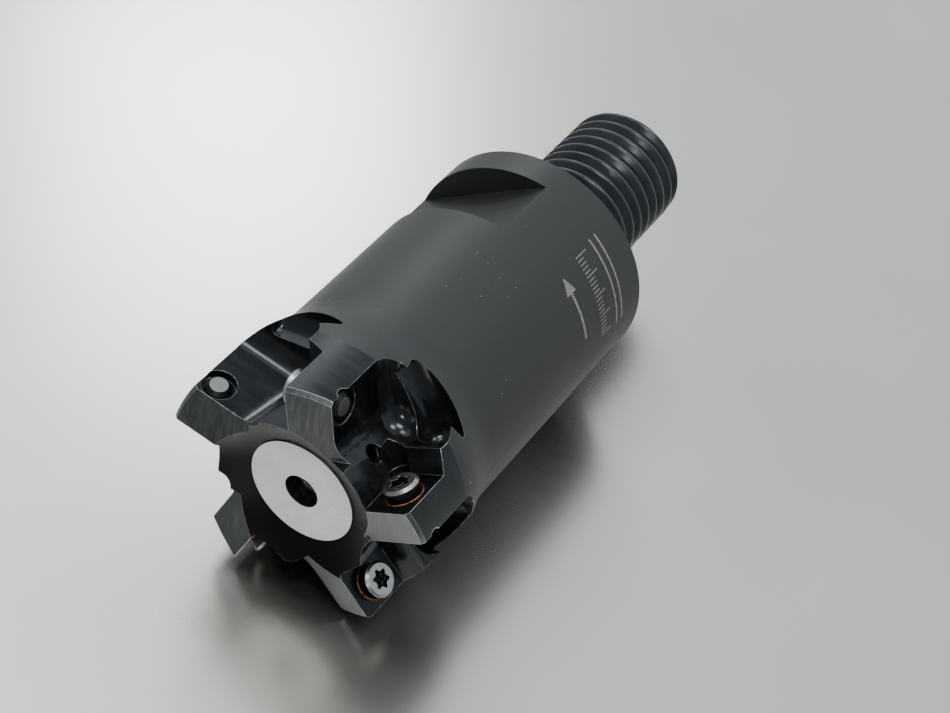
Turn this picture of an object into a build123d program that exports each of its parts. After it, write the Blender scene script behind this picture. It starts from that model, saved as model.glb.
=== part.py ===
from build123d import *

from math import cos, radians, sin, tan
import os

# Screw-in indexable face mill, 35 mm size, M16 shank, five unequally spaced teeth.
#
# Millimetres. The tool axis is Y: the cutting end faces -Y and the threaded shank +Y.
# The origin is on the axis, in the rear shoulder face that seats against the holder.
# Every tooth has its own frame: u runs outwards along its insert seat, w is square to
# the seat on the open side, and the third direction is the tool axis.
#
os.makedirs("parts", exist_ok=True)

# ---- Driving dimensions: body and shank -------------------------------------------------
BODY_R = 14.5               # collar, 29 mm across
HEAD_R = 16.0               # outer land of the teeth, without inserts
DISC_Y = -49.0              # turned centre disc on the front
DISC_R = 6.55
DISC_STEP = 0.15            # the disc stands this much proud of the dish around it
FRONT_Y = DISC_Y - 1.85     # front faces of the teeth
DISH_R = 10.4               # where the dish meets the front faces
DISH_SAG = 0.2
HEAD_END_Y = DISC_Y + 7.5   # the outer land ends and the taper starts
TAPER_END_Y = DISC_Y + 15.5 # the taper has come down to the collar
RIM_CHAMFER = 0.15
SHOULDER_RECESS = 0.4       # conical recess around the shank

THREAD_R = 7.9              # M16 major radius, less its tolerance
PITCH = 2.0
THREAD_DEPTH = 1.2
SHANK_END_Y = 23.6
RELIEF_R = 6.5              # undercut behind the shoulder
RELIEF_LENGTH = 2.2
END_CHAMFER = 1.3

FEED_R = 4.25               # coolant feed bore in the shank
FEED_END_Y = DISC_Y + 17.0
FRONT_HOLE_R = 2.1          # tapping size of the M5 front hole
PLUG_Y = DISC_Y + 2.0       # outer face of the plug screw
PLUG_LENGTH = 4.0

FLAT_HALF_WIDTH = 11.0      # wrench flats, 22 mm across
FLAT_START_Y = -13.8
FLAT_END_Y = -4.2
FLAT_ANGLE = 123.3          # direction of the first flat's normal about the axis

# ---- Driving dimensions: teeth ----------------------------------------------------------
SEAT_ANGLES = [171.8, 98.8, 30.8, -44.2, -114.2]   # unequal pitch against chatter
SEAT_W = -0.6               # seat plane, behind the radial line
BACK_W = -5.45              # back flank of a tooth
LAND_BEVEL = 0.4            # bevel between front face and outer land
RELIEF_INNER_U = 7.3        # inner end of the front face's relief
FRONT_RELIEF = 15.0         # degrees that the front face falls back
SEAT_INNER_U = 10.0         # foot of the radial support wall
SEAT_REAR_Y = DISC_Y + 5.0  # foot of the axial support wall
RADIAL_WALL_TILT = 8.0
AXIAL_WALL_TILT = 24.0
CORNER_RELIEF_R = 1.45
FLOOR_W = 2.0               # chip gullet's floor at FLOOR_Y, above the support walls
FLOOR_Y = DISC_Y + 6.0
FLOOR_FALL = 0.14           # the floor's fall per millimetre towards the rear

GULLET_REAR_Y = DISC_Y + 9.6
GULLET_ROOT_R = 3.2
GULLET_BALL_R = 2.5
SCOOP_R = 2.4               # rear run-out of the gullet
SCOOP_U = 13.3
SCOOP_Y = DISC_Y + 9.6
SCOOP_FLOOR_W = -0.5
SCOOP_FLOOR_R = 1.3
SCOOP_TOP_W = 9.7
SCOOP_TOP_R = 0.6

COOLANT_R = 1.1
COOLANT_Y = DISC_Y + 3.4
COOLANT_ANGLE = 18.0        # about the axis, from the seat

# ---- Driving dimensions: insert screws --------------------------------------------------
SCREW_U = 13.2
SCREW_Y = DISC_Y + 1.5
SCREW_R = 1.5               # M3
SCREW_PITCH = 0.5
HOLE_CLEARANCE = 0.05
HEAD_TOP_W = 0.95
HEAD_SCREW_R = 2.05
HEAD_RIM_R = 1.75           # flat on top of the head
HEAD_RIM_DROP = 0.3
HEAD_NECK_R = 1.62
HEAD_NECK_DROP = 1.0
SCREW_TIP_W = -5.5
TIP_CHAMFER = 0.48
BACK_BORE_R = 2.0
BACK_BORE_FLOOR_W = BACK_W + 1.1
TORX_R = 1.2                # to the points of the socket
TORX_WAIST_R = 0.86
TORX_DEPTH = 0.85

SINK_R = 1.95               # countersink at the mouth of the tapped hole
SINK_DEPTH = 0.4

PASTE_R = 2.08              # bead of thread paste squeezed out at the seat
PASTE_HALF_WIDTH = 0.11
PASTE_HEIGHT = 0.1

PLUG_CLEARANCE = 0.05
PLUG_CHAMFER = 0.4
PLUG_HEX = 2.5              # across the socket's flats
PLUG_HEX_DEPTH = 1.8

FAR = 20.0                  # beyond the outside of the head


def tooth_plane(angle, w=0.0):
    """Sketch plane of a tooth: x is u, y is the tool axis, and the normal is w."""
    a = radians(angle)
    outward = Vector(cos(a), 0, sin(a))
    normal = Vector(-sin(a), 0, cos(a))
    return Plane(origin=normal * w, x_dir=outward, z_dir=normal)


def across_plane(angle, y):
    """Plane square to the tool axis: x is the tooth's u and y is its w."""
    a = radians(angle)
    return Plane(origin=(0, y, 0), x_dir=(cos(a), 0, sin(a)), z_dir=(0, -1, 0))


def along_plane(angle, u):
    """Plane square to u, at the distance u: x is the tool axis and y is w."""
    a = radians(angle)
    outward = Vector(cos(a), 0, sin(a))
    return Plane(origin=outward * u, x_dir=(0, 1, 0), z_dir=outward)


def screw_plane(angle, w):
    """Sketch plane centred on a tooth's screw axis, at the height w."""
    plane = tooth_plane(angle, w)
    return Plane(plane.from_local_coords((SCREW_U, SCREW_Y, 0)), plane.x_dir, plane.z_dir)


def from_axis(point):
    """Distance of a point from the tool axis."""
    return Vector(point.X, 0, point.Z).length


def blank():
    """Turned blank: cutting head, taper, collar and plain shank, without thread or bores."""
    dish_mid = ((DISC_R + DISH_R) / 2 + DISH_SAG / 2, (DISC_Y + FRONT_Y) / 2 + DISH_SAG)
    with BuildPart() as turned:
        with BuildSketch(Plane.XY):
            with BuildLine():
                Polyline((0, DISC_Y), (DISC_R, DISC_Y), (DISC_R, DISC_Y + DISC_STEP))
                ThreePointArc((DISC_R, DISC_Y + DISC_STEP), dish_mid, (DISH_R, FRONT_Y))
                Polyline((DISH_R, FRONT_Y), (HEAD_R, FRONT_Y), (HEAD_R, HEAD_END_Y))
                Spline(
                    (HEAD_R, HEAD_END_Y),
                    (BODY_R, TAPER_END_Y),
                    tangents=[(0, 1), (0, 1)],
                )
                Polyline(
                    (BODY_R, TAPER_END_Y),
                    (BODY_R, -RIM_CHAMFER),
                    (BODY_R - RIM_CHAMFER, 0),
                    (THREAD_R + 0.2, 0),
                    (RELIEF_R, -SHOULDER_RECESS),
                    (RELIEF_R, RELIEF_LENGTH / 2),
                    (THREAD_R, RELIEF_LENGTH),
                    (THREAD_R, SHANK_END_Y - END_CHAMFER),
                    (THREAD_R - END_CHAMFER, SHANK_END_Y),
                    (0, SHANK_END_Y),
                    (0, DISC_Y),
                )
            make_face()
        revolve(axis=Axis.Y)
    return turned.part


def thread_groove():
    """Helical V groove that leaves the M16 thread standing on the shank."""
    root_r = THREAD_R - THREAD_DEPTH
    root_half = PITCH / 16
    mouth_half = PITCH / 2 - 0.03
    mouth_r = THREAD_R + 0.2
    with BuildPart() as groove:
        with BuildLine():
            turns = Helix(PITCH, SHANK_END_Y + PITCH, THREAD_R, (0, PITCH / 2, 0), (0, 1, 0))
        with BuildSketch(Plane(turns @ 0, x_dir=(turns @ 0).normalized(), z_dir=turns % 0)):
            with BuildLine():
                Polyline(
                    (root_r - THREAD_R, -root_half),
                    (mouth_r - THREAD_R, -mouth_half),
                    (mouth_r - THREAD_R, mouth_half),
                    (root_r - THREAD_R, root_half),
                    (root_r - THREAD_R, -root_half),
                )
            make_face()
        sweep(path=turns, is_frenet=True)
    return groove.part


def gullet_wedge(angle, gap):
    """Chip gullet between a tooth and the one before it, from the front to its rounded end.

    The floor falls towards the rear, and the other side is the back flank of the next tooth,
    so the cut runs along the line where these two planes meet.
    """
    g = radians(gap)
    start_y = FRONT_Y - 2
    floor_w = FLOOR_W + FLOOR_FALL * (FLOOR_Y - start_y)
    along_flank = (floor_w - BACK_W * cos(g)) / sin(g)
    flank_u = -BACK_W * sin(g)
    flank_w = BACK_W * cos(g)
    apex = (along_flank * cos(g) + flank_u, floor_w)
    flank_far = (FAR * cos(g) + flank_u, FAR * sin(g) + flank_w)
    middle_far = (FAR, FAR * sin(g))
    start = across_plane(angle, start_y)
    length = GULLET_REAR_Y - start_y
    course = Vector(0, length, 0) - tooth_plane(angle + gap).x_dir * (FLOOR_FALL * length / sin(g))
    with BuildPart() as wedge:
        with BuildSketch(start) as section:
            with BuildLine():
                Polyline(apex, (FAR, floor_w), middle_far, flank_far, apex)
            make_face()
            root = section.vertices().sort_by_distance(start.from_local_coords(apex))
            fillet(root[0], GULLET_ROOT_R)
        extrude(amount=course.length, dir=course.normalized())
        rear = wedge.faces().sort_by(Axis.Y)[-1]
        fillet([e for e in rear.edges() if from_axis(e @ 0.5) < HEAD_R], GULLET_BALL_R)
    return wedge.part


def gullet_scoop(angle):
    """Upright run-out of the cutter behind the insert pocket, rounded at both ends."""
    with BuildPart() as scoop:
        with BuildSketch(tooth_plane(angle, SCOOP_FLOOR_W)):
            with Locations((SCOOP_U, SCOOP_Y)):
                Circle(SCOOP_R)
        extrude(amount=SCOOP_TOP_W - SCOOP_FLOOR_W)
        ends = scoop.edges().filter_by(GeomType.CIRCLE)
        near_seat = min(ends, key=lambda e: e.center().dot(tooth_plane(angle).z_dir))
        fillet(near_seat, SCOOP_FLOOR_R)
        ends = scoop.edges().filter_by(GeomType.CIRCLE)
        far_end = max(ends, key=lambda e: e.center().dot(tooth_plane(angle).z_dir))
        fillet(far_end, SCOOP_TOP_R)
    return scoop.part


def insert_pocket(angle):
    """Seat, radial support wall, axial support wall and the relief in their corner."""
    wall_top = FLOOR_W + 4
    rise = wall_top - SEAT_W
    radial_top_u = SEAT_INNER_U - rise * tan(radians(RADIAL_WALL_TILT))
    rear_top_y = SEAT_REAR_Y + rise * tan(radians(AXIAL_WALL_TILT))
    with BuildPart() as pocket:
        with BuildSketch(along_plane(angle, 0)):
            with BuildLine():
                Polyline(
                    (FRONT_Y - 2, SEAT_W),
                    (SEAT_REAR_Y, SEAT_W),
                    (rear_top_y, wall_top),
                    (FRONT_Y - 2, wall_top),
                    (FRONT_Y - 2, SEAT_W),
                )
            make_face()
        extrude(amount=FAR)
        with BuildSketch(across_plane(angle, FRONT_Y - 3)):
            with BuildLine():
                Polyline(
                    (SEAT_INNER_U, SEAT_W - 1),
                    (SEAT_INNER_U, SEAT_W),
                    (radial_top_u, wall_top),
                    (FAR, wall_top + 1),
                    (FAR, SEAT_W - 1),
                    (SEAT_INNER_U, SEAT_W - 1),
                )
            make_face()
        extrude(amount=-FAR, mode=Mode.INTERSECT)
        with BuildSketch(tooth_plane(angle, SEAT_W)):
            with Locations((SEAT_INNER_U, SEAT_REAR_Y)):
                Circle(CORNER_RELIEF_R)
        extrude(amount=FLOOR_W + 1 - SEAT_W)
    return pocket.part


def front_relief(angle):
    """Wedge of air that makes a tooth's front face fall back behind its seat edge."""
    depth_w = 7.0
    drop = depth_w * tan(radians(FRONT_RELIEF))
    with BuildPart() as relief:
        with BuildSketch(along_plane(angle, RELIEF_INNER_U)):
            with BuildLine():
                Polyline(
                    (FRONT_Y, SEAT_W),
                    (FRONT_Y + drop, SEAT_W - depth_w),
                    (FRONT_Y - 1, SEAT_W - depth_w),
                    (FRONT_Y - 1, SEAT_W),
                    (FRONT_Y, SEAT_W),
                )
            make_face()
        extrude(amount=FAR)
    return relief.part


def land_edges(part):
    """Edges between the relieved front faces and the outer land."""
    return [
        e
        for e in part.edges()
        if abs(from_axis(e @ 0.5) - HEAD_R) < 0.01 and FRONT_Y < (e @ 0.5).Y < DISC_Y + 1
        and e.geom_type == GeomType.ELLIPSE
    ]


def polar(radius, angle):
    """Point in a sketch by radius and angle in degrees."""
    return (radius * cos(radians(angle)), radius * sin(radians(angle)))


def insert_screw(angle):
    """Countersunk M3 screw with a socket, turned into its tooth with no insert under it."""
    neck_w = HEAD_TOP_W - HEAD_NECK_DROP
    side_r = (TORX_R + TORX_WAIST_R) / 2
    with BuildPart() as screw:
        with BuildSketch(across_plane(angle, SCREW_Y)):
            with BuildLine():
                Polyline(
                    (SCREW_U, HEAD_TOP_W),
                    (SCREW_U + HEAD_RIM_R, HEAD_TOP_W),
                    (SCREW_U + HEAD_SCREW_R, HEAD_TOP_W - HEAD_RIM_DROP),
                    (SCREW_U + HEAD_NECK_R, neck_w),
                    (SCREW_U + SCREW_R, neck_w - 0.1),
                    (SCREW_U + SCREW_R, SCREW_TIP_W + TIP_CHAMFER),
                    (SCREW_U + SCREW_R - TIP_CHAMFER, SCREW_TIP_W),
                    (SCREW_U, SCREW_TIP_W),
                    (SCREW_U, HEAD_TOP_W),
                )
            make_face()
        revolve(axis=Axis(screw_plane(angle, 0).origin, screw_plane(angle, 0).z_dir))
        with BuildSketch(screw_plane(angle, HEAD_TOP_W)):
            with BuildLine():
                for lobe in range(0, 360, 60):
                    ThreePointArc(
                        polar(side_r, lobe - 13), polar(TORX_R, lobe), polar(side_r, lobe + 13)
                    )
                    ThreePointArc(
                        polar(side_r, lobe + 13),
                        polar(TORX_WAIST_R, lobe + 30),
                        polar(side_r, lobe + 47),
                    )
            make_face()
        extrude(amount=-TORX_DEPTH, mode=Mode.SUBTRACT)
    return screw.part


def paste_ring(angle):
    """Low bead of thread paste around a screw, lying on the seat."""
    with BuildPart() as ring:
        with BuildSketch(across_plane(angle, SCREW_Y)):
            with BuildLine():
                ThreePointArc(
                    (SCREW_U + PASTE_R - PASTE_HALF_WIDTH, SEAT_W),
                    (SCREW_U + PASTE_R, SEAT_W + PASTE_HEIGHT),
                    (SCREW_U + PASTE_R + PASTE_HALF_WIDTH, SEAT_W),
                )
                Line(
                    (SCREW_U + PASTE_R + PASTE_HALF_WIDTH, SEAT_W),
                    (SCREW_U + PASTE_R - PASTE_HALF_WIDTH, SEAT_W),
                )
            make_face()
        revolve(axis=Axis(screw_plane(angle, 0).origin, screw_plane(angle, 0).z_dir))
    return ring.part


gaps = [(SEAT_ANGLES[i - 1] - SEAT_ANGLES[i]) % 360 for i in range(len(SEAT_ANGLES))]

with BuildPart() as cutter_body:
    add(blank())
    add(thread_groove(), mode=Mode.SUBTRACT)

    for seat_angle, tooth_gap in zip(SEAT_ANGLES, gaps):
        add(gullet_wedge(seat_angle, tooth_gap), mode=Mode.SUBTRACT)
        add(gullet_scoop(seat_angle), mode=Mode.SUBTRACT)
        add(insert_pocket(seat_angle), mode=Mode.SUBTRACT)
        add(front_relief(seat_angle), mode=Mode.SUBTRACT)
    chamfer(land_edges(cutter_body.part), LAND_BEVEL)

    for seat_angle in SEAT_ANGLES:
        # Tapped hole of the insert screw, with its countersink and the bore in the back flank.
        with BuildSketch(screw_plane(seat_angle, BACK_W - 1)):
            Circle(SCREW_R + HOLE_CLEARANCE)
        extrude(amount=SEAT_W - BACK_W + 2, mode=Mode.SUBTRACT)
        with BuildSketch(screw_plane(seat_angle, SEAT_W)):
            Circle(SINK_R)
        extrude(amount=-SINK_DEPTH, taper=45, mode=Mode.SUBTRACT)
        with BuildSketch(screw_plane(seat_angle, BACK_BORE_FLOOR_W)):
            Circle(BACK_BORE_R)
        extrude(amount=-3, mode=Mode.SUBTRACT)

        # Coolant outlet from the middle of the tool to the gullet's floor.
        with BuildSketch(along_plane(seat_angle + COOLANT_ANGLE, 0)):
            with Locations((COOLANT_Y, 0)):
                Circle(COOLANT_R)
        extrude(amount=DISH_R, mode=Mode.SUBTRACT)

    # Coolant feed from the shank, and the front hole that the plug closes.
    with BuildSketch(Plane.XZ.offset(-SHANK_END_Y)):
        Circle(FEED_R)
    extrude(amount=SHANK_END_Y - FEED_END_Y, mode=Mode.SUBTRACT)
    with BuildSketch(Plane.XZ.offset(-FEED_END_Y)):
        Circle(FRONT_HOLE_R)
    extrude(amount=FEED_END_Y - DISC_Y, mode=Mode.SUBTRACT)

    # Wrench flats on both sides of the collar.
    for side in (0, 180):
        with BuildSketch(tooth_plane(FLAT_ANGLE + side - 90, FLAT_HALF_WIDTH)):
            with Locations((0, (FLAT_START_Y + FLAT_END_Y) / 2)):
                Rectangle(2 * FAR, FLAT_END_Y - FLAT_START_Y)
        extrude(amount=FAR, mode=Mode.SUBTRACT)
cutter_body.part.label = "cutter_body"
export_step(cutter_body.part, "parts/cutter_body.step")

# Screws turned into the teeth, each with its bead of paste.
for number, seat_angle in enumerate(SEAT_ANGLES, start=1):
    export_step(insert_screw(seat_angle), f"parts/insert_screw_{number}.step")
    export_step(paste_ring(seat_angle), f"parts/paste_ring_{number}.step")

# Grub screw that closes the front hole, so that the coolant leaves by the teeth.
with BuildPart() as coolant_plug:
    with BuildSketch(Plane.XZ.offset(-PLUG_Y)):
        Circle(FRONT_HOLE_R - PLUG_CLEARANCE)
    extrude(amount=-PLUG_LENGTH)
    chamfer(coolant_plug.edges().filter_by(GeomType.CIRCLE), PLUG_CHAMFER)
    with BuildSketch(Plane.XZ.offset(-PLUG_Y)):
        RegularPolygon(PLUG_HEX / 2, 6, major_radius=False)
    extrude(amount=-PLUG_HEX_DEPTH, mode=Mode.SUBTRACT)
coolant_plug.part.label = "coolant_plug"
export_step(coolant_plug.part, "parts/coolant_plug.step")
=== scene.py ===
from math import cos, hypot, pi, radians, sin

import bmesh
import bpy
from mathutils import Matrix, Vector


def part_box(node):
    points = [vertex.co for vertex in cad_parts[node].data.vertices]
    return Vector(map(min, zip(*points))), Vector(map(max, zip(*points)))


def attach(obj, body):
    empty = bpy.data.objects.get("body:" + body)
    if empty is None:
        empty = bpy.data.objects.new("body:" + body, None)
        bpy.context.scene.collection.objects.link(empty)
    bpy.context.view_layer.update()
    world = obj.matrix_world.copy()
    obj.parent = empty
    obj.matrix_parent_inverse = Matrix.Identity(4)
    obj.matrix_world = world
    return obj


MM = 0.001

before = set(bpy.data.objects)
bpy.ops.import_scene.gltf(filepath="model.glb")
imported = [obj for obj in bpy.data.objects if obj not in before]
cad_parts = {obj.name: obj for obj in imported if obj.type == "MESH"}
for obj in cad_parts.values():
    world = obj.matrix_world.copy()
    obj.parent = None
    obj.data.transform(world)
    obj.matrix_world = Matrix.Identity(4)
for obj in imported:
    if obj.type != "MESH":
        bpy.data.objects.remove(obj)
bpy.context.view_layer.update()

# ---- Dimensions shared with the CAD part, in millimetres ---------------------------------
DISC_Y = -49.0
DISC_R = 6.55
DISH_R = 10.4
HEAD_R = 16.0
BODY_R = 14.5
HEAD_END_Y = DISC_Y + 7.5
TAPER_END_Y = DISC_Y + 15.5
GULLET_REAR_Y = DISC_Y + 9.6
SEAT_ANGLES = (171.8, 98.8, 30.8, -44.2, -114.2)
SEAT_W = -0.6
SCREW_U = 13.2
SCREW_Y = DISC_Y + 1.5
HEAD_TOP_W = 0.95
SCREW_TIP_W = -5.5
SOCKET_R = 1.25

# ---- Limits that tell kinds of faces apart; lengths in millimetres -------------------------
IN_PLANE = 0.02  # a face this close to a plane lies in it
SHANK_START_Y = 0.05  # faces behind this belong to the threaded shank
FRONT_DEPTH = 1.5  # front faces start no deeper than this behind the disc
FRONT_FACING = -0.5  # y of a front face's normal is below this
DISH_MARGIN = 0.3  # how far the centre of a dish face may lie past the dish's edge
TURNED_SKEW = 0.05  # how far a turned face's normal may lean out of the axial plane
SMOOTH_BACK_Y = GULLET_REAR_Y + 3.0  # no gullet reaches behind this
OUTSIDE_MARGIN = 0.1  # how far inside the outline a turned outer face's centre may lie
SQUARE_TO_SEAT = 0.995  # w of the normal of a face that lies along an insert seat

# ---- Camera, floor and light -------------------------------------------------------------
CAMERA_AT = Vector((78.5, -173.0, 163.0)) * MM
CAMERA_TO = Vector((3.0, -18.45, -1.38)) * MM
CAMERA_ROLL = 8.8  # degrees
CAMERA_LENS = 77.5  # millimetres, as the sensor width
SENSOR_WIDTH = 36.0
NEAREST_SEEN = 0.01  # metres
FLOOR_SIZE = 4.0  # metres
LIT_POINT = Vector((0.0, -0.02, 0.0))  # every light is aimed here
FRONT_SKY = 0.3  # strength of the surroundings in front of the tool
BACK_SKY = 1.15  # and behind it
SKY_SPAN = (-0.7, 0.6)  # y of the directions between which the strength grows


# ---- Node helpers ------------------------------------------------------------------------
class Nodes:
    """Short way to write a material's node tree."""

    def __init__(self, name):
        self.material = bpy.data.materials.new(name)
        self.material.use_nodes = True
        self.tree = self.material.node_tree
        self.shader = self.tree.nodes["Principled BSDF"]
        self.point = self.add("ShaderNodeTexCoord").outputs["Object"]

    def add(self, kind, **settings):
        node = self.tree.nodes.new(kind)
        for key, value in settings.items():
            setattr(node, key, value)
        return node

    def link(self, source, target):
        self.tree.links.new(source, target)

    def feed(self, value, socket):
        """Sets the socket to a number or colour, or links another node's output to it."""
        if isinstance(value, (int, float, tuple)):
            socket.default_value = value
        else:
            self.link(value, socket)

    def math(self, operation, a, b=0.0):
        node = self.add("ShaderNodeMath", operation=operation)
        self.feed(a, node.inputs[0])
        self.feed(b, node.inputs[1])
        return node.outputs[0]

    def noise(self, scale, detail, roughness, stretch=None):
        """Noise in object space; scale is in features per metre."""
        node = self.add("ShaderNodeTexNoise")
        node.inputs["Scale"].default_value = scale
        node.inputs["Detail"].default_value = detail
        node.inputs["Roughness"].default_value = roughness
        if stretch:
            mapping = self.add("ShaderNodeMapping")
            mapping.inputs["Scale"].default_value = stretch
            self.link(self.point, mapping.inputs["Vector"])
            self.link(mapping.outputs[0], node.inputs["Vector"])
        else:
            self.link(self.point, node.inputs["Vector"])
        return node.outputs[0]

    def spread(self, value, low, high, to_low=0.0, to_high=1.0):
        """Stretches low..high to to_low..to_high and clamps there."""
        node = self.add("ShaderNodeMapRange")
        self.feed(value, node.inputs["Value"])
        node.inputs["From Min"].default_value = low
        node.inputs["From Max"].default_value = high
        node.inputs["To Min"].default_value = to_low
        node.inputs["To Max"].default_value = to_high
        return node.outputs[0]

    def blend(self, factor, a, b):
        """Colour mix of a and b."""
        node = self.add("ShaderNodeMix", data_type="RGBA")
        self.feed(factor, node.inputs[0])
        self.feed(a, node.inputs[6])
        self.feed(b, node.inputs[7])
        return node.outputs[2]

    def edge_wear_and_highlight(self, radius_mm, low, high):
        """Mask of convex and concave edges, from a normal smoothed over the radius; the materials
        paint these edges pale as wear and as painted highlight.
        """
        plain = self.add("ShaderNodeNewGeometry")
        dot = self.add("ShaderNodeVectorMath", operation="DOT_PRODUCT")
        self.link(self.rounded(radius_mm), dot.inputs[0])
        self.link(plain.outputs["Normal"], dot.inputs[1])
        return self.spread(dot.outputs["Value"], high, low)

    def bump(self, height, strength, distance_mm, normal=None):
        node = self.add("ShaderNodeBump")
        node.inputs["Strength"].default_value = strength
        node.inputs["Distance"].default_value = distance_mm * MM
        self.link(height, node.inputs["Height"])
        if normal:
            self.link(normal, node.inputs["Normal"])
        return node.outputs[0]

    def rounded(self, radius_mm):
        """Normal that runs smoothly around the edges."""
        bevel = self.add("ShaderNodeBevel", samples=6)
        bevel.inputs["Radius"].default_value = radius_mm * MM
        return bevel.outputs[0]

    def finish(self, colour, roughness, normal=None, metallic=1.0):
        self.feed(colour, self.shader.inputs["Base Color"])
        self.feed(roughness, self.shader.inputs["Roughness"])
        self.shader.inputs["Metallic"].default_value = metallic
        if normal:
            self.link(normal, self.shader.inputs["Normal"])
        return self.material


# ---- Materials ---------------------------------------------------------------------------
def black_oxide(name, tone, roughness, edge_tone, metallic):
    """Black-oxide steel: satin, with faint blotches, tiny specks and pale edges, partly bare-metal
    wear and partly painted highlight.
    """
    n = Nodes(name)
    blotch = n.noise(110.0, 4.0, 0.55)
    grain = n.noise(5000.0, 3.0, 0.7)
    dust_zone = n.spread(n.noise(130.0, 2.0, 0.5), 0.52, 0.7)
    dust = n.math("MULTIPLY", n.spread(n.noise(3300.0, 0.0, 0.5), 0.82, 0.85), dust_zone)
    # Edges are lightened to the edge tone: partly wear, partly painted highlight.
    edge = n.edge_wear_and_highlight(0.1, 0.84, 0.985)
    scuffed_and_highlit = n.math("MULTIPLY", edge, n.spread(n.noise(900.0, 3.0, 0.6), 0.4, 0.75))
    dark = (tone * 0.95, tone * 1.03, tone * 1.06, 1)
    light = (tone * 1.2, tone * 1.27, tone * 1.29, 1)
    base = n.blend(n.spread(blotch, 0.3, 0.7), dark, light)
    pale = (tone * 2, tone * 2, tone * 2, 1)
    mottled = n.blend(n.spread(grain, 0.35, 0.7, 0.0, 0.6), base, pale)
    marked = n.blend(n.math("MULTIPLY", dust, 0.7), mottled, (0.5, 0.49, 0.47, 1))
    colour = n.blend(scuffed_and_highlit, marked, (edge_tone, edge_tone, edge_tone, 1))
    rough = n.math("ADD", n.spread(blotch, 0.3, 0.7, roughness - 0.03, roughness + 0.04),
                   n.spread(grain, 0.3, 0.7, -0.05, 0.05))
    normal = n.bump(grain, 0.5, 0.014, n.rounded(0.08))
    return n.finish(colour, rough, normal, metallic=metallic)


def cut_oxide(name, tone, roughness, edge_tone, rounding_mm, metallic):
    """Machined surface under black oxide: dark and glossy, with faint cutter marks."""
    n = Nodes(name)
    marks = n.noise(700.0, 2.0, 0.5, stretch=(0.35, 1.6, 0.35))
    fine = n.noise(5200.0, 2.0, 0.5)
    # Edges are lightened to the edge tone: partly wear, partly painted highlight.
    edge = n.edge_wear_and_highlight(0.13, 0.86, 0.985)
    worn_and_highlit = n.math("MULTIPLY", edge, n.spread(n.noise(1100.0, 3.0, 0.6), 0.28, 0.6))
    dark = (tone, tone * 1.08, tone * 1.22, 1)
    light = (tone * 1.6, tone * 1.75, tone * 1.95, 1)
    base = n.blend(n.spread(marks, 0.3, 0.7), dark, light)
    colour = n.blend(worn_and_highlit, base, (edge_tone, edge_tone, edge_tone, 1))
    rough = n.spread(marks, 0.3, 0.7, roughness - 0.04, roughness + 0.06)
    normal = n.bump(marks, 0.08, 0.02, n.bump(fine, 0.08, 0.006, n.rounded(rounding_mm)))
    return n.finish(colour, rough, normal, metallic=metallic)


def ground_oxide(name):
    """Ground front faces of the teeth: dark metal with fine grinding lines and pale edges, partly
    wear and partly painted highlight.
    """
    n = Nodes(name)
    lines = n.noise(2600.0, 2.0, 0.6, stretch=(1.0, 0.2, 0.12))
    blotch = n.noise(260.0, 3.0, 0.5)
    # Edges are lightened almost to white: partly wear, partly painted highlight.
    edge = n.edge_wear_and_highlight(0.15, 0.86, 0.985)
    worn_and_highlit = n.math("MULTIPLY", edge, n.spread(n.noise(1000.0, 3.0, 0.6), 0.25, 0.55))
    base = n.blend(n.spread(blotch, 0.3, 0.7), (0.08, 0.085, 0.09, 1), (0.11, 0.116, 0.122, 1))
    lined = n.blend(n.spread(lines, 0.4, 0.75, 0.0, 0.4), base, (0.22, 0.226, 0.235, 1))
    colour = n.blend(worn_and_highlit, lined, (0.8, 0.8, 0.8, 1))
    rough = n.spread(lines, 0.3, 0.7, 0.3, 0.42)
    return n.finish(colour, rough, n.bump(lines, 0.15, 0.01, n.rounded(0.08)), metallic=0.9)


def bare_disc(name):
    """Bare turned face of the centre disc: pale matt metal with fine rings and grain."""
    ring_pitch = 0.09 * MM
    n = Nodes(name)
    split = n.add("ShaderNodeSeparateXYZ")
    n.link(n.point, split.inputs[0])
    squares = n.math("ADD", n.math("MULTIPLY", split.outputs[0], split.outputs[0]),
                     n.math("MULTIPLY", split.outputs[2], split.outputs[2]))
    radius = n.math("SQRT", squares)
    rings = n.math("SINE", n.math("MULTIPLY", radius, 2 * pi / ring_pitch))
    grain = n.noise(6000.0, 3.0, 0.65)
    blotch = n.noise(420.0, 3.0, 0.6)
    tone = n.blend(n.spread(grain, 0.36, 0.64), (0.72, 0.715, 0.695, 1), (1.0, 0.995, 0.97, 1))
    colour = n.blend(n.spread(blotch, 0.35, 0.75, 0.0, 0.25), tone, (0.45, 0.445, 0.425, 1))
    normal = n.bump(rings, 0.12, 0.004, n.bump(grain, 0.3, 0.008, n.rounded(0.08)))
    return n.finish(colour, n.spread(grain, 0.3, 0.7, 0.45, 0.65), normal, metallic=0.25)


def machined_steel(name, tone, roughness):
    """Plain machined steel for screws and plug; its pale edges are partly wear and partly painted
    highlight, and near-black tones passed in give painted shade.
    """
    n = Nodes(name)
    grain = n.noise(6500.0, 2.0, 0.6)
    blotch = n.noise(900.0, 3.0, 0.5)
    edge = n.edge_wear_and_highlight(0.08, 0.86, 0.985)
    light = (tone, tone, tone, 1)
    dark = (tone * 0.75, tone * 0.75, tone * 0.76, 1)
    base = n.blend(n.spread(blotch, 0.3, 0.7), light, dark)
    # Edges are lightened toward pale steel: partly wear, partly painted highlight.
    colour = n.blend(n.math("MULTIPLY", edge, 0.6), base, (0.75, 0.74, 0.72, 1))
    normal = n.bump(grain, 0.15, 0.006, n.rounded(0.06))
    return n.finish(colour, n.spread(blotch, 0.3, 0.7, roughness, roughness + 0.12), normal)


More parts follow.
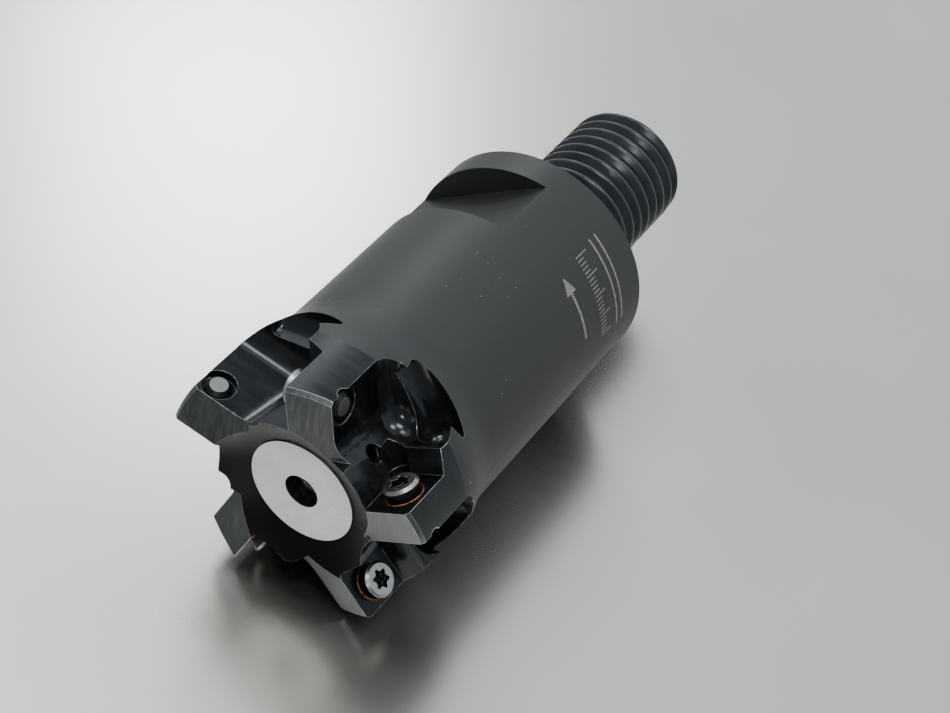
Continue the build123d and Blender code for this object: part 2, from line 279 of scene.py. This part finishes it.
def copper_paste(name):
    """Thin dried copper anti-seize paste: dark, with glints of copper."""
    n = Nodes(name)
    lumps = n.noise(1700.0, 4.0, 0.6)
    colour = n.blend(n.spread(lumps, 0.42, 0.66), (0.03, 0.015, 0.01, 1), (0.42, 0.15, 0.07, 1))
    normal = n.bump(lumps, 0.6, 0.08)
    return n.finish(colour, n.spread(lumps, 0.3, 0.7, 0.3, 0.55), normal, metallic=0.7)


def floor_material(name):
    """Plain pale floor with a soft gloss."""
    n = Nodes(name)
    cloud = n.noise(14.0, 3.0, 0.5)
    colour = n.blend(n.spread(cloud, 0.3, 0.7), (0.59, 0.575, 0.535, 1), (0.67, 0.655, 0.61, 1))
    return n.finish(colour, 0.27, metallic=1.0)


# ---- Cutter body: a material for each kind of surface --------------------------------------
def tooth_coordinates(point, angle):
    """u outwards along the seat, w square to it, in millimetres."""
    a = radians(angle)
    return (point.x * cos(a) + point.z * sin(a), -point.x * sin(a) + point.z * cos(a))


def surface_kind(centre, normal):
    """Names the kind of surface that a face of the body belongs to; centre is in millimetres."""
    radius = hypot(centre.x, centre.z)
    if centre.y > SHANK_START_Y:
        return "thread"
    if abs(centre.y - DISC_Y) < IN_PLANE and radius < DISC_R:
        return "disc"
    if normal.y < FRONT_FACING and centre.y < DISC_Y + FRONT_DEPTH:
        sideways = abs(normal.x * centre.z - normal.z * centre.x)
        turned = radius < DISH_R + DISH_MARGIN and sideways < TURNED_SKEW * radius
        return "dish" if turned else "tooth"
    outside = on_turned_outside(centre, radius)
    if outside and centre.y < HEAD_END_Y:
        return "land"
    if outside or centre.y > SMOOTH_BACK_Y:
        return "body"
    across = max(abs(tooth_coordinates(normal, angle)[1]) for angle in SEAT_ANGLES)
    return "flank" if across > SQUARE_TO_SEAT else "gullet"


def on_turned_outside(centre, radius):
    """True on the outer land, the taper behind it and the collar."""
    along = min(max((centre.y - HEAD_END_Y) / (TAPER_END_Y - HEAD_END_Y), 0.0), 1.0)
    outline = HEAD_R - (HEAD_R - BODY_R) * along * along * (3 - 2 * along)
    return radius > outline - OUTSIDE_MARGIN


body_materials = {
    "body": black_oxide("black_oxide", 0.01, 0.5, 0.14, metallic=0.15),
    "land": cut_oxide("land_oxide", 0.016, 0.34, 0.5, 0.14, metallic=0.8),
    # The dish takes the body's black oxide at half the tone and nearly all metal: painted shade,
    # darker than the body around it.
    "dish": black_oxide("shaded_black_oxide_dish", 0.005, 0.38, 0.25, metallic=0.85),
    "tooth": ground_oxide("ground_oxide"),
    "thread": cut_oxide("black_oxide_thread", 0.03, 0.22, 0.035, 0.45, metallic=0.6),
    "gullet": cut_oxide("glossy_oxide", 0.013, 0.15, 0.3, 0.16, metallic=0.6),
    "flank": cut_oxide("flank_oxide", 0.009, 0.26, 0.45, 0.12, metallic=0.8),
    "disc": bare_disc("bare_disc"),
}


def dress(node, materials):
    """Replaces a CAD node's materials by these, in this order."""
    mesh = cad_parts[node].data
    mesh.materials.clear()
    for material in materials:
        mesh.materials.append(material)
    return mesh


body_mesh = dress("cutter_body", body_materials.values())
kinds = list(body_materials)
for face in body_mesh.polygons:
    face.material_index = kinds.index(surface_kind(face.center / MM, face.normal))


def screw_surface(centre, angle):
    """Names the kind of surface that a face of a screw belongs to; centre is in millimetres."""
    u, w = tooth_coordinates(centre, angle)
    if w < SCREW_TIP_W + IN_PLANE:
        return "end"
    if w < SEAT_W:
        return "thread"
    in_socket = hypot(u - SCREW_U, centre.y - SCREW_Y) < SOCKET_R and w < HEAD_TOP_W - IN_PLANE
    return "socket" if in_socket else "head"


# The socket and the thread are near-black on the same steel as the head: painted shade in the
# socket and in the screw hole.
screw_materials = {
    "head": machined_steel("screw_head_steel", 0.34, 0.28),
    "socket": machined_steel("screw_socket_painted_shade", 0.02, 0.5),
    "thread": machined_steel("screw_thread_painted_shade", 0.03, 0.4),
    "end": machined_steel("screw_end_steel", 0.22, 0.36),
}
screw_kinds = list(screw_materials)
paste = copper_paste("copper_paste")
for number, seat_angle in enumerate(SEAT_ANGLES, start=1):
    screw_mesh = dress(f"insert_screw_{number}", screw_materials.values())
    for face in screw_mesh.polygons:
        face.material_index = screw_kinds.index(screw_surface(face.center / MM, seat_angle))
    dress(f"paste_ring_{number}", [paste])
dress("coolant_plug", [machined_steel("plug_steel", 0.75, 0.24)])

# ---- Generic marking on the collar -------------------------------------------------------
MARK_HEIGHT = 0.02  # millimetres above the collar, and as much below
MARK_STEP = 2.0  # degrees between the cross sections of a mark
ARROW_Y = -12.9
ARROW_ANGLES = (16.0, 40.0, 48.0)  # tail, start of the head, tip
ARROW_SHAFT_HALF = 0.2
ARROW_HEAD_HALF = 0.95
ARROW_TIP_HALF = 0.02
TICK_COUNT = 21
TICKS_FROM = 8.0
TICK_PITCH = 2.1
TICK_HALF_ANGLE = 0.3
TICK_BASE_Y = -9.4
LONG_TICK_HALF = 1.1
SHORT_TICK_HALF = 0.6
TICKS_PER_LONG = 5
BAR_YS = (-5.8, -4.6)
BAR_ANGLES = (6.0, 52.0)
BAR_HALF = 0.15


def collar_point(angle, y, radius):
    """Point at an angle about the tool axis, in metres; y and radius are in millimetres."""
    a = radians(angle)
    return (radius * cos(a) * MM, y * MM, radius * sin(a) * MM)


def add_mark(mesh, start, end, y, half_start, half_end):
    """Closed ribbon around the collar from start to end degrees, with its own end widths."""
    steps = max(1, round(abs(end - start) / MARK_STEP))
    previous = None
    for step in range(steps + 1):
        part = step / steps
        angle = start + (end - start) * part
        half = half_start + (half_end - half_start) * part
        ring = [
            mesh.verts.new(collar_point(angle, y + side, radius))
            for side, radius in (
                (-half, BODY_R - MARK_HEIGHT),
                (half, BODY_R - MARK_HEIGHT),
                (half, BODY_R + MARK_HEIGHT),
                (-half, BODY_R + MARK_HEIGHT),
            )
        ]
        if previous:
            for k in range(4):
                mesh.faces.new((previous[k], previous[k - 1], ring[k - 1], ring[k]))
        else:
            mesh.faces.new(ring)
        previous = ring
    mesh.faces.new(reversed(previous))


def laser_mark(name):
    """Pale bronze-grey laser marking."""
    n = Nodes(name)
    grain = n.noise(5200.0, 2.0, 0.6)
    colour = n.blend(n.spread(grain, 0.35, 0.65), (0.11, 0.1, 0.09, 1), (0.27, 0.25, 0.225, 1))
    return n.finish(colour, n.spread(grain, 0.3, 0.7, 0.45, 0.65), metallic=0.4)


marks = bmesh.new()
tail, shoulder, tip = ARROW_ANGLES
add_mark(marks, tail, shoulder, ARROW_Y, ARROW_SHAFT_HALF, ARROW_SHAFT_HALF)
add_mark(marks, shoulder, tip, ARROW_Y, ARROW_HEAD_HALF, ARROW_TIP_HALF)
for index in range(TICK_COUNT):
    half = LONG_TICK_HALF if index % TICKS_PER_LONG == 0 else SHORT_TICK_HALF
    tick = TICKS_FROM + TICK_PITCH * index
    add_mark(marks, tick - TICK_HALF_ANGLE, tick + TICK_HALF_ANGLE, TICK_BASE_Y + half, half, half)
for bar_y in BAR_YS:
    add_mark(marks, *BAR_ANGLES, bar_y, BAR_HALF, BAR_HALF)
bmesh.ops.recalc_face_normals(marks, faces=marks.faces)
mark_mesh = bpy.data.meshes.new("collar_mark")
marks.to_mesh(mark_mesh)
marks.free()
mark_mesh.materials.append(laser_mark("laser_mark"))
collar_mark = bpy.data.objects.new("collar_mark", mark_mesh)
bpy.context.collection.objects.link(collar_mark)
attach(collar_mark, "tool")

# ---- Floor, camera, light ------------------------------------------------------------------
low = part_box("cutter_body")[0]
bpy.ops.mesh.primitive_plane_add(size=FLOOR_SIZE, location=(0, 0, low[2]))
floor = bpy.context.object
floor.name = "floor"
floor.data.materials.append(floor_material("pale_floor"))

camera_data = bpy.data.cameras.new("camera")
camera_data.lens = CAMERA_LENS
camera_data.sensor_width = SENSOR_WIDTH
camera_data.clip_start = NEAREST_SEEN
camera = bpy.data.objects.new("camera", camera_data)
bpy.context.collection.objects.link(camera)
aim = (CAMERA_TO - CAMERA_AT).to_track_quat("-Z", "Y").to_matrix().to_4x4()
roll = Matrix.Rotation(radians(CAMERA_ROLL), 4, "Z")
camera.matrix_world = Matrix.Translation(CAMERA_AT) @ aim @ roll
bpy.context.scene.camera = camera


def soft_light(name, at, size, watts):
    """White area light aimed at the tool; metres and watts."""
    data = bpy.data.lights.new(name, "AREA")
    data.shape = "RECTANGLE"
    data.size, data.size_y = size
    data.energy = watts
    light = bpy.data.objects.new(name, data)
    bpy.context.collection.objects.link(light)
    turn = (LIT_POINT - Vector(at)).to_track_quat("-Z", "Y").to_matrix().to_4x4()
    light.matrix_world = Matrix.Translation(at) @ turn


soft_light("overhead", (-0.45, 0.1, 0.7), (0.5, 0.6), 1.3)
soft_light("rear_lamp", (-0.48, 0.6, 0.56), (0.2, 0.2), 1.3)
soft_light("lamp_1", (0.14, -0.3, 0.8), (0.28, 0.16), 3.0)
soft_light("lamp_2", (-0.2, -0.05, 0.9), (0.2, 0.2), 1.5)
soft_light("lamp_3", (0.35, 0.05, 0.75), (0.2, 0.2), 1.9)
soft_light("front_lamp", (0.2, -0.8, 0.4), (0.1, 0.1), 1.3)


def surroundings(front, back):
    """Even sky whose strength grows from the front of the tool (-Y) to its back."""
    world = bpy.data.worlds.new("studio")
    world.use_nodes = True
    tree = world.node_tree
    background = tree.nodes["Background"]
    background.inputs["Color"].default_value = (0.88, 0.96, 1.0, 1)
    split = tree.nodes.new("ShaderNodeSeparateXYZ")
    grade = tree.nodes.new("ShaderNodeMapRange")
    grade.inputs["From Min"].default_value = SKY_SPAN[0]
    grade.inputs["From Max"].default_value = SKY_SPAN[1]
    grade.inputs["To Min"].default_value = front
    grade.inputs["To Max"].default_value = back
    tree.links.new(tree.nodes.new("ShaderNodeTexCoord").outputs["Generated"], split.inputs[0])
    tree.links.new(split.outputs[1], grade.inputs["Value"])
    tree.links.new(grade.outputs[0], background.inputs["Strength"])
    return world


bpy.context.scene.world = surroundings(FRONT_SKY, BACK_SKY)
